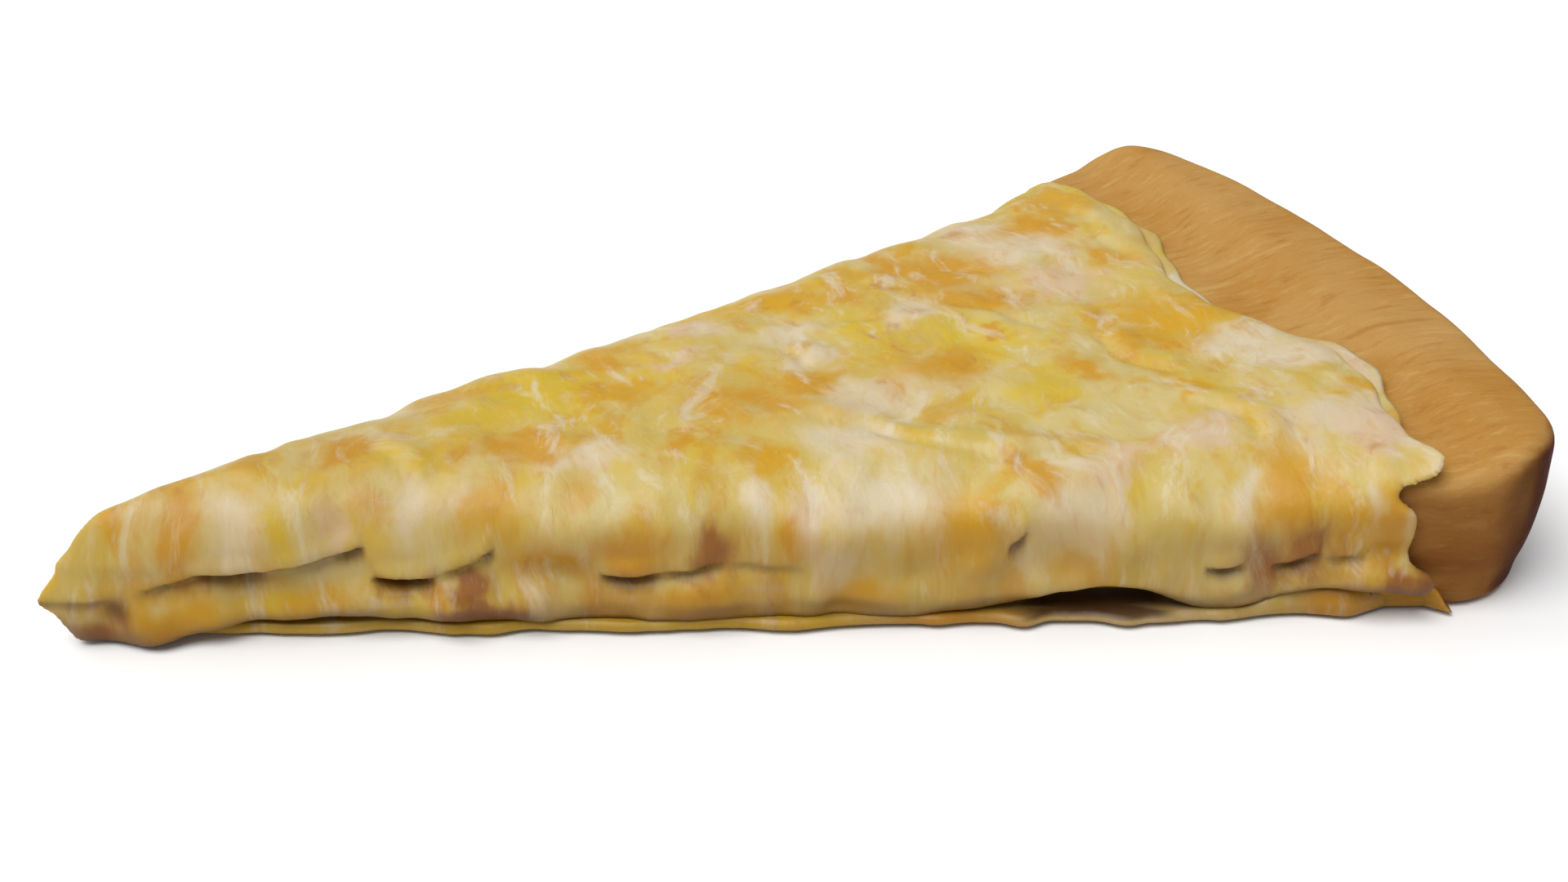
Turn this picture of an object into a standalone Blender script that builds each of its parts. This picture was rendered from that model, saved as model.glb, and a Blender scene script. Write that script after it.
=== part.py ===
"""A wedge of thick-crust cheese pizza, lying flat.

Three pieces: the baked dough (a raised rim at the wide end with a flat base
that runs under the cheese), a thin lower sheet of cheese that shows as a lip
along the cut sides and along the rim, and the thick melted blanket on top.

The named sizes are millimetres; the meshes are scaled to metres when made.
+X runs from the tip to the rim, +Z is up, and z = 0 is the underside.
"""

import bpy
import bmesh
from math import sin, cos, tan, exp, log, pi, sqrt, radians

MM = 0.001

# the wedge
RADIUS = 180.0              # tip of the wedge to the outside of the rim
HALF_ANGLE = radians(18.2)  # half of the angle between the two cut sides
TIP_X = -1.9                # the cheese runs a little past the wedge's own tip

# the dough
RIM_H = 21.3                # height of the raised rim
SADDLE_H = 18.6             # height of the rim where the cheese laps onto it
BASE_H = 8.6                # height of the base under the cheese
BASE_INSET = 4.0            # base side, in from the cut side
RIM_INSET = 0.3             # rim side, in from the cut side
RIM_CORNER = 15.5           # plan radius of the rim's two outer corners
SADDLE_ROUND = 4.4
RIM_TOP_ROUND = 2.8
RIM_LOW_ROUND = 2.4
RIM_TAPER = 1.2             # the rim's foot stands in by this much
RAMP = (116.0, 154.0)       # where the base rises to the saddle
BROW = (158.0, 169.0)       # where the saddle rises to the rim
SIDE_STEP = (136.0, 158.0)  # where the base side steps out to the rim side
BASE_TIP = 16.5

# the cheese
GAP = 0.42                  # clearance between two pieces
LOWER_TOP_T = 1.5           # lower sheet: thickness on top
LOWER_SIDE_T = 1.0          # and down the sides
LOWER_END_T = 0.7           # and where it laps onto the rim, on top
LOWER_SIDE_END_T = 0.5      # and at the sides
LIP_H = 1.55                # its lip along the foot of the cut sides
LIP_Z = 0.30
LIP_END = 167.5
LIP_OUT = 1.2               # the lip stands out past the cut side
LIP_TIP = 10.4
LOWER_SIDE_END = 156.5      # its sides stop a little short of the blanket's
LOWER_SHOWS = 2.4           # how far it shows past the blanket on the rim
TOP_H = 19.7                # blanket: general level of the top
TIP_H = 7.2                 # height of the blanket's very tip
TIP_RISE = 8.2              # how fast it rises behind the tip
WALL_INSET = 0.3            # its side, in from the cut side
HEM_Z = 2.25                # foot of its side, over the lip
SHOULDER_W = 12.0           # rounding from side to top
SHOULDER_H = 8.5
GROOVE_Z = 9.0              # the fold line along the side
GROOVE_D = 0.9
BULGE = 0.55
LUMP = 0.5                  # height of the lumps on top

SA, CA, TA = sin(HALF_ANGLE), cos(HALF_ANGLE), tan(HALF_ANGLE)


def smooth(a, b, x):
    t = min(1.0, max(0.0, (x - a) / (b - a)))
    return t * t * (3 - 2 * t)


def mix(a, b, t):
    return a + (b - a) * t


def hump(x, centre, width):
    return exp(-((x - centre) / width) ** 2)


def side_x(X):
    """x of a station's ends: stations are straight near the tip, arcs later."""
    return X - smooth(20, 110, X) * X * (1 - CA)


def place(X, f, half):
    """The point at share f (-1 to 1) across the station X, half wide."""
    y = half * sin(f * HALF_ANGLE) / SA
    bow = smooth(20, 110, X)
    return (X - bow * (X - sqrt(X * X - y * y)) if bow else X), y


def wedge_half(X, inset, nose):
    """Half width of the wedge's outline moved in by inset, with a round nose."""
    x = side_x(X) - nose
    c = 2 * (nose - inset / SA)
    return TA * sqrt(max(0.0, x * (x + max(c, 0.0))))


# ---------------------------------------------------------------- the dough

def dough_inset(X):
    return mix(BASE_INSET, RIM_INSET, smooth(*SIDE_STEP, X))


def dough_top(X):
    ramp = mix(BASE_H, SADDLE_H, smooth(*RAMP, X))
    return ramp + (RIM_H - SADDLE_H) * smooth(*BROW, X)


def dough_round(X):
    r = mix(2.0, SADDLE_ROUND, smooth(*SIDE_STEP, X))
    return mix(r, RIM_TOP_ROUND, smooth(*BROW, X))


def round_off(d, r):
    """Fall of a quarter-round of radius r at a distance d from its end."""
    d = min(max(d, 0.0), r)
    return r - sqrt(r * r - (r - d) ** 2)


def border(f):
    """Distance from the tip at which the blanket ends on the rim."""
    return (157.0 - 5.8 * hump(f, 0.12, 0.29) + 5.6 * hump(f, -0.70, 0.40)
            + 1.2 * hump(f, 0.77, 0.14))


# across: the share f of each top point, and the angle of each shoulder point
TOP_F = [1.0, 0.78, 0.52, 0.26, 0.0]
TURN = [radians(a) for a in (30, 60)]


def across(wall, inset, top, rw, rh, half_at):
    """One half section, foot to middle: (share, half width, z)."""
    pts = [(1.0, half_at(inset + d), z) for d, z in wall]
    w = half_at(inset)
    rw = min(rw, 0.85 * w)
    rh = min(rh, 0.45 * top)
    for a in TURN:
        pts.append((1.0, w - rw * (1 - cos(a)), top - rh + rh * sin(a)))
    for f in TOP_F:
        pts.append((f, w - rw, top))
    return pts


def both_sides(half, X, lump=None):
    """Right foot over the top to left foot, as points."""
    row = []
    n = len(half)
    for k in list(range(n)) + list(range(n - 2, -1, -1)):
        f, w, z = half[k]
        s = -1.0 if len(row) < n - 1 else 1.0
        x, y = place(X, f * s, w)
        if lump:
            z += lump(x, y, f * s)
        row.append((x, y, z))
    return row


def dough():
    st = [BASE_TIP + 1.2 * k * k for k in range(4)]
    st += [34 + 8.0 * k for k in range(11)]
    st += [117.5 + 3.2 * k for k in range(14)] + [162.5]
    st += [RADIUS - RIM_CORNER * (1 - sin(radians(90 * k / 8))) for k in range(9)]
    upper, under = [], []
    for X in st:
        ins = dough_inset(X)
        fall = round_off(RADIUS - X, RIM_TOP_ROUND)
        rise = round_off(RADIUS - X, RIM_LOW_ROUND)
        corner = round_off(RADIUS - X, RIM_CORNER)
        rim = smooth(*SIDE_STEP, X)
        low = mix(1.0, RIM_LOW_ROUND, rim)
        taper = RIM_TAPER * rim
        top = dough_top(X) - fall

        def half_at(i, X=X, corner=corner):
            return max(0.0, wedge_half(X, i, BASE_TIP) - corner)

        wall = [(taper + low * 0.75, rise + low * 0.06),
                (taper + low * 0.3, rise + low * 0.3),
                (taper, rise + low),
                (taper * 0.4, mix(low, top, 0.5))]
        half = across(wall, ins, top, dough_round(X), dough_round(X), half_at)
        row = both_sides(half, X)
        foot = half_at(ins + taper + low)
        n = len(row) - 1
        back = 1 - RIM_TAPER / RADIUS * smooth(150, RADIUS, X)
        upper.append([(x * (back if j in (0, n) else 1), y, z)
                      for j, (x, y, z) in enumerate(row)])
        low_row = []
        m = len(half) - 1
        for j in range(n + 1):
            k, s = (j, -1.0) if j < m else (n - j, 1.0)
            f, w, _ = half[k]
            w = min(w, foot * (1 - 0.015 * k))
            x, y = place(X, f * s, w)
            low_row.append((x * back, y, rise))
        under.append(low_row)
    return upper, under


# ------------------------------------------------------- the lower sheet

def sheet_t(X):
    t = smooth(RAMP[0], RAMP[1], X)
    return (mix(LOWER_TOP_T, LOWER_END_T, t),
            mix(LOWER_SIDE_T, LOWER_SIDE_END_T, smooth(130, 150, X)))


def over_dough(X, side, top, wall, nose):
    """Half section that lies over the dough, clear of it by side and top."""
    def half_at(i):
        return wedge_half(X, i, nose)
    r = dough_round(X) + side
    return across(wall, dough_inset(X) - side, dough_top(X) + top, r, r, half_at)


def lip_bump(X, s):
    """How far the lip stands out at a station of side s."""
    return (0.45 * sin(X / 7.3 + 1.1 * s) + 0.35 * sin(X / 3.9 + 0.6 * s)
            + 0.8 * hump(X, 119.0 + 4 * s, 4.0) + 0.6 * hump(X, 50.0 + 3 * s, 5.0))


def stations(nose, end):
    st = [nose + 1.1 * k * k for k in range(5)]
    first = st[-1]
    n, m = 12, 13
    st += [mix(first, 114.0, (k + 1) / n) for k in range(n)]
    return st + [mix(114.0, end, (k + 1) / m) for k in range(m)]


def late_start(t):
    """Stations of an inner surface, closer together behind its tip."""
    return 1.04 * t * t / (t + 0.04)


def lower():
    out_rows, in_rows = [], []
    n_out, n_in = 13.2, 15.4
    base = stations(0.0, 160.0)
    N = len(base) - 1
    half_n = 4 + len(TURN) + len(TOP_F)
    width = 2 * half_n - 1

    def end_of(j, f):
        k = min(j, width - 1 - j)
        if k < 3:
            return LIP_END - 0.7 * k
        if k == 3:
            return LOWER_SIDE_END
        if k < 4 + len(TURN):
            return mix(LOWER_SIDE_END, border(f) - 1.0, (k - 3) / (1 + len(TURN)))
        return border(f) + LOWER_SHOWS * (0.8 + 0.3 * sin(7 * f + 1))

    def build(nose, side_fn, top_fn, wall_fn, lip):
        rows = []
        for i in range(N + 1):
            row = []
            for j in range(width):
                k = min(j, width - 1 - j)
                s = -1.0 if j < half_n - 1 else 1.0
                f = s * (TOP_F[k - 4 - len(TURN)] if k >= 4 + len(TURN) else 1.0)
                my_nose = LIP_TIP + 0.4 * k if (lip and k < 3) else nose
                t = base[i] / 160.0
                X = mix(my_nose, end_of(j, f), t if lip else late_start(t))
                half = over_dough(X, side_fn(X), top_fn(X), wall_fn(X, s), my_nose)
                ff, w, z = half[k]
                x, y = place(X, ff * s, w)
                row.append((x, y, z))
            rows.append(row)
        return rows

    def wall_out(X, s):
        side = GAP + sheet_t(X)[1]
        d0 = -(dough_inset(X) - side)          # from the sheet's side to the cut side
        b = -(LIP_OUT + lip_bump(X, s) * (1 - smooth(158, LIP_END, X))) * smooth(LIP_TIP, 25, X)
        b -= 0.7 * smooth(*SIDE_STEP, X) * (1 - smooth(158, LIP_END, X))
        thin = LIP_H * (1 - 0.35 * smooth(158, LIP_END, X)) * mix(0.6, 1.0, smooth(LIP_TIP, 22, X))
        return [(d0 + 0.45 + b, LIP_Z), (d0 + b, LIP_Z + 0.55 * thin),
                (d0 + 0.6 + b, LIP_Z + thin), (0.0, LIP_Z + thin + 0.12)]

    def wall_in(X, s):
        foot = mix(0.0, RIM_TAPER, smooth(*SIDE_STEP, X))
        return [(foot * 0.75, LIP_Z), (foot * 0.62, LIP_Z + 0.5),
                (foot * 0.5, LIP_Z + 1.0), (0.0, LIP_Z + LIP_H + 0.1)]

    out_rows = build(n_out, lambda X: GAP + sheet_t(X)[1],
                     lambda X: GAP + sheet_t(X)[0], wall_out, True)
    in_rows = build(n_in, lambda X: GAP, lambda X: GAP, wall_in, False)
    return out_rows, in_rows


# ------------------------------------------------------------ the blanket

def blanket_half(X, inset):
    """Half width of the blanket's outside, whose tip is a blunt point."""
    x = side_x(X)
    k = 2.0
    w = TA * k * log(1 + exp((x - inset / SA) / k))
    return max(0.0, w + 0.9 * (1 - exp(-(x - TIP_X) / 1.5)) * exp(-x / 40.0)
               - 0.07 * exp(-(x - TIP_X)))


def blanket_top(X):
    t = TIP_H + (TOP_H - TIP_H) * (1 - exp(-(X - TIP_X) / TIP_RISE))
    need = dough_top(X) + 2 * GAP + sheet_t(X)[0] + 0.95
    return t + max(0.0, need - TOP_H) * smooth(140, 152, X)


def lumps(x, y, f):
    grow = smooth(0, 30, x)
    w = (0.9 * sin(x / 5.2 + 0.8) * cos(y / 6.5 + 0.5)
         + 0.7 * sin(x / 8.9 - y / 7.1 + 2.0) + 0.5 * sin(y / 4.3 + x / 14.0))
    return LUMP * 0.6 * grow * w * (1 - 0.6 * smooth(140, 155, x))


def fold(X, s):
    """Depth of the fold line along the side, 0 to 1."""
    return (0.55 + 0.45 * sin(X / 11.0 + 0.7 * s)) * smooth(3, 12, X) * (
        1 - smooth(105, 135, X))


def blanket():
    end_stations = stations(0.0, 160.0)
    N = len(end_stations) - 1
    half_n = 5 + len(TURN) + 1 + len(TOP_F)
    width = 2 * half_n - 1
    k_top = half_n - len(TOP_F)
    turn = [radians(a) for a in (22, 45, 68)]

    def section_out(X, s):
        lap = smooth(132, 152, X)
        top = blanket_top(X)
        ins = mix(WALL_INSET, -1.35, smooth(140, 157, X))
        w0 = blanket_half(X, ins)
        rw = min(mix(SHOULDER_W, 6.0, lap), 0.85 * w0)
        rh = min(mix(SHOULDER_H, 5.4, lap), 0.45 * top)
        hem = mix(LIP_Z, HEM_Z, smooth(4.5, 9.0, X))
        wave = 0.35 * sin(X / 6.1 + 1.7 * s) + 0.25 * sin(X / 3.3 - s)
        wave *= smooth(5, 25, X) * (1 - 0.8 * lap)
        g = fold(X, s)
        grow = smooth(TIP_X, 6, X) * (1 - 0.75 * lap)
        low_tip = 1 - smooth(TIP_X, 10, X)
        shoulder_z = top - rh
        zs = [hem, hem + 1.1, mix(hem, GROOVE_Z, 0.55), GROOVE_Z, 11.2]
        squash = min(1.0, (shoulder_z - 0.3) / 11.2)
        zs = [hem + (z - hem) * squash for z in zs]
        outs = [-0.8, -0.1, BULGE + wave, -GROOVE_D * g, BULGE * 0.6 - wave * 0.6]
        pts = [(1.0, max(0.0, w0 + o * grow), z) for o, z in zip(outs, zs)]
        for a in turn:
            pts.append((1.0, max(0.0, w0 + 0.2 * grow - rw * (1 - cos(a))),
                        shoulder_z + rh * sin(a)))
        for f in TOP_F:
            pts.append((f, w0 - rw, top))
        return pts, low_tip

    def nose_shift(z):
        """The tip's profile: farthest out at its nub, in at the foot."""
        return 3.2 * (1 - smooth(0.3, 6.2, z))

    def section_in(X, nose):
        ts, tt = sheet_t(X)[1], sheet_t(X)[0]
        late = smooth(128, 145, X)
        side = 2 * GAP + ts + 0.15 * late
        top = dough_top(X) + 2 * GAP + tt + 0.22 * late
        ins = dough_inset(X) - side

        def half_at(i):
            return wedge_half(X, i, nose)
        w = half_at(ins)
        r = min(dough_round(X) + side, 0.85 * w)
        rh = min(dough_round(X) + side, 0.45 * top)
        hem = mix(4.6, HEM_Z, smooth(nose, nose + 12, X))
        wall_top = top - rh
        zs = [hem, mix(hem, wall_top, 0.2), mix(hem, wall_top, 0.45),
              mix(hem, wall_top, 0.7), wall_top]
        pts = [(1.0, w, z) for z in zs]
        for a in turn:
            pts.append((1.0, w - r * (1 - cos(a)), wall_top + rh * sin(a)))
        for f in TOP_F:
            pts.append((f, w - r, top))
        return pts

    def end_of(k, f, s):
        if k < 5:
            return mix(159.0, 160.2, k / 4.0)
        if k < k_top:
            return mix(158.0, border(s), (k - 4) / (k_top - 4))
        return border(f)

    def build(outside):
        rows = []
        for i in range(N + 1):
            row = []
            for j in range(width):
                k = min(j, width - 1 - j)
                s = -1.0 if j < half_n - 1 else 1.0
                f = s * (TOP_F[k - k_top] if k >= k_top else 1.0)
                nose = TIP_X if outside else 12.1
                t = end_stations[i] / 160.0
                X = mix(nose, end_of(k, f, s), t if outside else late_start(t))
                if outside:
                    pts, _ = section_out(X, s)
                    ff, w, z = pts[k]
                    if i == N:
                        z = z - 0.55 if k >= 5 else z
                    x, y = place(X, ff * s, w)
                    x += nose_shift(z) * (1 - smooth(TIP_X, 11.0, X))
                    if k >= 5:
                        z += lumps(x, y, f) * (1.0 if k >= k_top else 0.5)
                else:
                    if i == N:
                        X -= 0.3
                    ff, w, z = section_in(X, nose)[k]
                    x, y = place(X, ff * s, w)
                row.append((x, y, z))
            rows.append(row)
        return rows

    return build(True), build(False)


# --------------------------------------------------------------- building

def shell(name, outer, inner, material):
    """A closed solid between two grids that share their outline."""
    bm = bmesh.new()
    width = len(outer[0])

    def grid(rows):
        vs = []
        for i, row in enumerate(rows):
            line = []
            for j, (x, y, z) in enumerate(row):
                if i == 0 and j > width - 1 - j:
                    line.append(line[width - 1 - j])
                    continue
                line.append(bm.verts.new((x * MM, (0.0 if i == 0 else y) * MM, z * MM)))
            vs.append(line)
        return vs

    a, b = grid(outer), grid(inner)
    n = len(a) - 1

    def face(*vs):
        keep = []
        for v in vs:
            if v not in keep:
                keep.append(v)
        if len(keep) > 2:
            bm.faces.new(keep)

    for i in range(n):
        for j in range(width - 1):
            face(a[i][j], a[i][j + 1], a[i + 1][j + 1], a[i + 1][j])
            face(b[i][j], b[i + 1][j], b[i + 1][j + 1], b[i][j + 1])
        face(a[i][0], a[i + 1][0], b[i + 1][0], b[i][0])
        w = width - 1
        face(a[i][w], b[i][w], b[i + 1][w], a[i + 1][w])
    for j in range(width - 1):
        face(a[n][j], a[n][j + 1], b[n][j + 1], b[n][j])
    bmesh.ops.remove_doubles(bm, verts=bm.verts, dist=2e-6)
    bmesh.ops.triangulate(bm, faces=bm.faces)
    bmesh.ops.recalc_face_normals(bm, faces=bm.faces)
    mesh = bpy.data.meshes.new(name)
    bm.to_mesh(mesh)
    bm.free()
    mesh.shade_smooth()
    mesh.set_sharp_from_angle(angle=radians(50))
    obj = bpy.data.objects.new(name, mesh)
    bpy.context.scene.collection.objects.link(obj)
    mesh.materials.append(material)
    return obj


def paint(name, colour, roughness):
    m = bpy.data.materials.new(name)
    m.use_nodes = True
    p = m.node_tree.nodes["Principled BSDF"]
    p.inputs["Base Color"].default_value = (*colour, 1.0)
    p.inputs["Roughness"].default_value = roughness
    p.inputs["Metallic"].default_value = 0.0
    return m


def main():
    for o in list(bpy.data.objects):
        bpy.data.objects.remove(o, do_unlink=True)
    crust_m = paint("baked_dough", (0.50, 0.27, 0.08), 0.75)
    low_m = paint("cheese_edge", (0.66, 0.42, 0.07), 0.45)
    top_m = paint("melted_cheese", (0.68, 0.50, 0.18), 0.4)
    pieces = [shell("crust", *dough(), crust_m),
              shell("cheese_lower", *lower(), low_m),
              shell("cheese_upper", *blanket(), top_m)]
    points = [v.co for o in pieces for v in o.data.vertices]
    mid_x = (min(p.x for p in points) + max(p.x for p in points)) / 2
    mid_y = (min(p.y for p in points) + max(p.y for p in points)) / 2
    for o in pieces:
        for v in o.data.vertices:
            v.co.x -= mid_x
            v.co.y -= mid_y
        o.data.update()
    print("moved by", -mid_x, -mid_y)
    for o in pieces:
        print(o.name, len(o.data.polygons), "triangles")


main()
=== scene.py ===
"""A wedge of thick cheese pizza: the finished surfaces of its three pieces.

All shapes are worked out in millimetres in the wedge's own coordinates: the
tip is at the origin, +X runs to the rim, z = 0 is the underside.  Each piece
is a closed surface drawn through a sampled distance field, or a grid of rows,
and is then moved into the model's frame in metres.
"""
import bpy
import numpy as np
from math import radians, sin, cos, tan, pi
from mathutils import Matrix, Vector


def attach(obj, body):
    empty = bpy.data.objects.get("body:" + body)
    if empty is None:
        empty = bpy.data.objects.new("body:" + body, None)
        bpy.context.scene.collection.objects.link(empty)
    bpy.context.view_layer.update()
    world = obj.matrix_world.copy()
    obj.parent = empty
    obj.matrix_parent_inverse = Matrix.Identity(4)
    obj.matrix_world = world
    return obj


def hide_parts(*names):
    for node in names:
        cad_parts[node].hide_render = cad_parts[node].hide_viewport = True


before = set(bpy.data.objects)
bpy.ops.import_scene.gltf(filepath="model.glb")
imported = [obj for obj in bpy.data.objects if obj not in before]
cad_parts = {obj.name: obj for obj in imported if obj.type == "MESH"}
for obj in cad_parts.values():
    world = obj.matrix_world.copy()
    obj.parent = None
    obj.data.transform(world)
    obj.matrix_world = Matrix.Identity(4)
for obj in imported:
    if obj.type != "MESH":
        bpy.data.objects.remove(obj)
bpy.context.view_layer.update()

MM = 0.001
MOVE_X = -89.05             # wedge coordinates to the model's frame, mm
STEP = 0.6                  # sampling distance of the crust's field, mm
FINE = 0.55                 # and of the blanket's

ALPHA = radians(18.2)
SA, CA, TA = sin(ALPHA), cos(ALPHA), tan(ALPHA)
RADIUS = 180.0
RIM_H = 21.3
SADDLE_H = 18.6
BASE_H = 8.6


# ------------------------------------------------------------ small maths

def smooth(a, b, x):
    t = np.clip((x - a) / (b - a), 0.0, 1.0)
    return t * t * (3 - 2 * t)


def mix(a, b, t):
    return a + (b - a) * t


def hump(x, centre, width):
    return np.exp(-((x - centre) / width) ** 2)


def table(x, pairs):
    """A smooth curve through a few (x, value) pairs."""
    px = np.array([p[0] for p in pairs], float)
    pv = np.array([p[1] for p in pairs], float)
    m = np.gradient(pv, px)
    x = np.clip(x, px[0], px[-1])
    i = np.clip(np.searchsorted(px, x) - 1, 0, len(px) - 2)
    h = px[i + 1] - px[i]
    t = (x - px[i]) / h
    a, b = t * t * (3 - 2 * t), t * t * (t - 1)
    return (pv[i] * (1 - a) + pv[i + 1] * a
            + m[i] * h * t * (1 - t) ** 2 + m[i + 1] * h * b)


def noise(x, y, z, seed=0):
    """Smooth gradient noise, about -1 to 1."""
    x, y, z = np.broadcast_arrays(np.asarray(x, float), np.asarray(y, float),
                                  np.asarray(z, float))
    fx, fy, fz = np.floor(x), np.floor(y), np.floor(z)
    ix, iy, iz = (v.astype(np.int64) for v in (fx, fy, fz))
    dx, dy, dz = x - fx, y - fy, z - fz
    ux, uy, uz = (v * v * v * (v * (v * 6 - 15) + 10) for v in (dx, dy, dz))
    total = np.zeros(x.shape)
    mask = np.int64(0xFFFFFFFF)
    for a in (0, 1):
        for b in (0, 1):
            for c in (0, 1):
                h = ((ix + a) * 374761393 + (iy + b) * 668265263
                     + (iz + c) * 1274126177 + seed * 974711 + 12345) & mask
                h = ((h ^ (h >> 13)) * 1274126177) & mask
                h = (h ^ (h >> 16)) & mask
                gx = (h & 1023) / 511.5 - 1
                gy = ((h >> 10) & 1023) / 511.5 - 1
                gz = ((h >> 20) & 1023) / 511.5 - 1
                w = ((ux if a else 1 - ux) * (uy if b else 1 - uy)
                     * (uz if c else 1 - uz))
                total += w * (gx * (dx - a) + gy * (dy - b) + gz * (dz - c))
    return total * 1.5


def fbm(x, y, z, size, octaves=3, seed=0, gain=0.5):
    s, amp, out = 1.0 / size, 1.0, 0.0
    for k in range(octaves):
        out = out + amp * noise(x * s, y * s, z * s, seed + 17 * k)
        s *= 2.03
        amp *= gain
    return out


# --------------------------------------------------- surfaces from fields

def surface(F, origin, h, passes=2):
    """Points and quads of the surface where the field F crosses zero."""
    s = F < 0
    cnt = np.zeros(tuple(n - 1 for n in F.shape), np.int8)
    for a in (0, 1):
        for b in (0, 1):
            for c in (0, 1):
                cnt += s[a:s.shape[0] - 1 + a, b:s.shape[1] - 1 + b,
                         c:s.shape[2] - 1 + c]
    act = (cnt > 0) & (cnt < 8)
    ids = -np.ones(act.shape, np.int64)
    cell = np.array(np.nonzero(act))
    ids[act] = np.arange(cell.shape[1])
    pos = np.zeros((cell.shape[1], 3))
    w = np.zeros(cell.shape[1])
    for ax in range(3):
        o1, o2 = [k for k in range(3) if k != ax]
        for a in (0, 1):
            for b in (0, 1):
                off = np.zeros(3, np.int64)
                off[o1], off[o2] = a, b
                p0 = cell + off[:, None]
                p1 = p0.copy()
                p1[ax] += 1
                f0, f1 = F[tuple(p0)], F[tuple(p1)]
                m = (f0 < 0) != (f1 < 0)
                t = f0[m] / (f0[m] - f1[m])
                pos[m] += off
                pos[m, ax] += t
                w[m] += 1
    pos = pos / w[:, None] + cell.T
    quads = []
    for ax in range(3):
        b1, b2 = (ax + 1) % 3, (ax + 2) % 3
        lo = [slice(None)] * 3
        hi = [slice(None)] * 3
        lo[ax], hi[ax] = slice(0, -1), slice(1, None)
        change = s[tuple(lo)] != s[tuple(hi)]
        e = np.array(np.nonzero(change))
        inner = ((e[b1] > 0) & (e[b2] > 0) & (e[b1] < F.shape[b1] - 1)
                 & (e[b2] < F.shape[b2] - 1))
        e = e[:, inner]
        inside_first = s[tuple(e)]
        ring = []
        for d1, d2 in ((-1, -1), (0, -1), (0, 0), (-1, 0)):
            q = e.copy()
            q[b1] += d1
            q[b2] += d2
            ring.append(ids[tuple(q)])
        ring = np.array(ring).T
        ring[~inside_first] = ring[~inside_first][:, ::-1]
        quads.append(ring)
    quads = np.concatenate(quads)

    def sample(q):
        i = np.clip(np.floor(q).astype(np.int64), 0, np.array(F.shape) - 2)
        t = q - i
        v = 0.0
        for a in (0, 1):
            for b in (0, 1):
                for c in (0, 1):
                    wt = ((t[:, 0] if a else 1 - t[:, 0])
                          * (t[:, 1] if b else 1 - t[:, 1])
                          * (t[:, 2] if c else 1 - t[:, 2]))
                    v = v + wt * F[i[:, 0] + a, i[:, 1] + b, i[:, 2] + c]
        return v

    for step in range(passes):
        pos = relax(pos, quads, 0.6)
        for _ in range(2):
            f = sample(pos)
            g = np.stack([(sample(pos + d) - sample(pos - d))
                          for d in np.eye(3) * 0.5], 1)
            n2 = (g ** 2).sum(1) + 1e-9
            move = -(f / n2)[:, None] * g
            size = np.sqrt((move ** 2).sum(1))[:, None] + 1e-9
            pos += move * np.minimum(1.0, 0.35 / size)
    pos = relax(pos, quads, 0.5)
    return pos * h + np.array(origin), quads


def relax(pos, quads, share):
    """Each point moves part of the way to the mean of its neighbours."""
    n = len(pos)
    a = quads.ravel()
    b = np.roll(quads, -1, 1).ravel()
    w = np.bincount(a, minlength=n) + np.bincount(b, minlength=n)
    out = np.empty_like(pos)
    for k in range(3):
        t = (np.bincount(a, pos[b, k], minlength=n)
             + np.bincount(b, pos[a, k], minlength=n))
        out[:, k] = t / np.maximum(w, 1)
    return mix(pos, out, share)


def normals(pos, quads):
    p = pos[quads]
    c = np.cross(p[:, 2] - p[:, 0], p[:, 3] - p[:, 1])
    n = np.zeros_like(pos)
    for k in range(4):
        for ax in range(3):
            n[:, ax] += np.bincount(quads[:, k], c[:, ax], minlength=len(pos))
    return n / (np.sqrt((n ** 2).sum(1))[:, None] + 1e-12)


def rounded(a, b, ra, rb):
    """Inside both fields, with the edge between them rounded off."""
    A, B = a + ra, b + rb
    r = np.minimum(ra, rb)
    k = (np.sqrt((np.maximum(A, 0) / ra) ** 2 + (np.maximum(B, 0) / rb) ** 2) - 1) * r
    return np.where((A > 0) & (B > 0), k, np.maximum(a, b))


def line_distance(x, y, pts):
    """Signed distance to a line through pts, and the share along it."""
    best = np.full(np.shape(x), 1e9)
    sign = np.zeros(np.shape(x))
    share = np.zeros(np.shape(x))
    pts = np.array(pts, float)
    seg = np.sqrt(((pts[1:] - pts[:-1]) ** 2).sum(1))
    total, run = seg.sum(), 0.0
    for (ax, ay), (bx, by), L in zip(pts[:-1], pts[1:], seg):
        ux, uy = (bx - ax) / L, (by - ay) / L
        t = np.clip((x - ax) * ux + (y - ay) * uy, 0, L)
        ex, ey = x - ax - t * ux, y - ay - t * uy
        d = np.sqrt(ex * ex + ey * ey)
        near = d < best
        best = np.where(near, d, best)
        sign = np.where(near, np.sign(ux * ey - uy * ex), sign)
        share = np.where(near, (run + t) / total, share)
        run += L
    return best * sign, share


# ------------------------------------------------------------- the dough

def dough_inset(x):
    return mix(4.0, 0.3, smooth(136, 158, x))


def dough_top(x):
    return (mix(BASE_H, SADDLE_H, smooth(116, 154, x))
            + (RIM_H - SADDLE_H) * smooth(158, 169, x))


def border(f):
    """Distance from the tip at which the blanket ends on the rim."""
    return (157.0 - 6.4 * hump(f, 0.08, 0.26) + 4.6 * hump(f, -0.62, 0.36)
            + 1.2 * hump(f, 0.77, 0.14) + 0.5 * np.sin(f * 13.0 + 0.6)
            + 0.35 * np.sin(f * 29.0))


def grid(x0, x1, half, z0, z1, step):
    xs = np.arange(x0, x1, step)
    ys = np.arange(-half, half + step, step)
    zs = np.arange(z0, z1, step)
    return xs, ys, zs


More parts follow.
